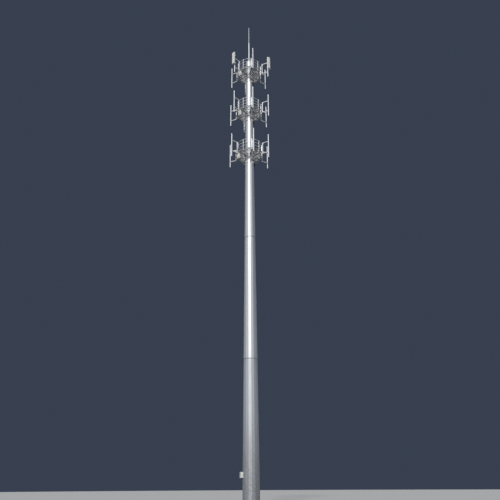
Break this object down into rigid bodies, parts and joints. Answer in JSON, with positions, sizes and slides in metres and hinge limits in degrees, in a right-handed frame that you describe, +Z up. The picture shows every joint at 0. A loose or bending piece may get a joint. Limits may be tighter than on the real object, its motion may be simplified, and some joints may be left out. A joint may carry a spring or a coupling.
{
  "type": "half-scale model of a monopole cell tower",
  "caption": "Half-scale model of a tapered many-sided steel pole with round railed antenna platforms, mount pipes, panel antennas, radio units and a lightning rod.",
  "frame": {"origin": "centre of the base flange's underside, on the ground anchor plane", "axes": "+Z up along the pole, -Y towards the viewer's side in the picture, +X to the viewer's right"},
  "size_m": [2.0316, 2.0477, 23.2],
  "materials": {
    "galvanised_base": "bluish hot-dip zinc, soft sheen",
    "galvanised_pole": "bright hot-dip zinc, fine spangle",
    "platform_zinc": "hot-dip zinc, slightly weathered",
    "deck_zinc": "hot-dip zinc, duller where it is walked on",
    "mount_pipe_zinc": "hot-dip zinc pipe, matt",
    "rod_metal": "weathered, satin",
    "box_enamel": "pale grey powder coat",
    "radio_housing": "off-white powder coat",
    "radome": "warm off-white moulded shell",
    "hood_polymer": "black weatherproof polymer"
  },
  "bodies": {
    "root": {"access_door": "galvanised_base", "base_flange": "galvanised_base", "base_stiffeners": "galvanised_base", "door_frame": "galvanised_base", "junction_box": "box_enamel", "lightning_rod": "rod_metal", "lower_braces": "platform_zinc", "lower_cable_hood": "hood_polymer", "lower_clamp_bands": "platform_zinc", "lower_deck": "deck_zinc", "lower_deck_beams": "platform_zinc", "lower_mount_brackets": "platform_zinc", "lower_mount_pipes": "mount_pipe_zinc", "lower_outer_ring": "platform_zinc", "lower_radio_units": "radio_housing", "lower_rail_posts": "platform_zinc", "lower_rails": "platform_zinc", "middle_braces": "platform_zinc", "middle_cable_hood": "hood_polymer", "middle_clamp_bands": "platform_zinc", "middle_deck": "deck_zinc", "middle_deck_beams": "platform_zinc", "middle_mount_brackets": "platform_zinc", "middle_mount_pipes": "mount_pipe_zinc", "middle_outer_ring": "platform_zinc", "middle_radio_units": "radio_housing", "middle_rail_posts": "platform_zinc", "middle_rails": "platform_zinc", "pole_cap": "galvanised_pole", "pole_section_1": "galvanised_base", "pole_section_2": "galvanised_pole", "pole_section_3": "galvanised_pole", "pole_section_4": "galvanised_pole", "upper_braces": "platform_zinc", "upper_cable_hood": "hood_polymer", "upper_clamp_bands": "platform_zinc", "upper_deck": "deck_zinc", "upper_deck_beams": "platform_zinc", "upper_mount_brackets": "platform_zinc", "upper_mount_pipes": "mount_pipe_zinc", "upper_outer_ring": "platform_zinc", "upper_panel_antennas": "radome", "upper_radio_units": "radio_housing", "upper_rail_posts": "platform_zinc", "upper_rails": "platform_zinc"}
  },
  "joints": []
}
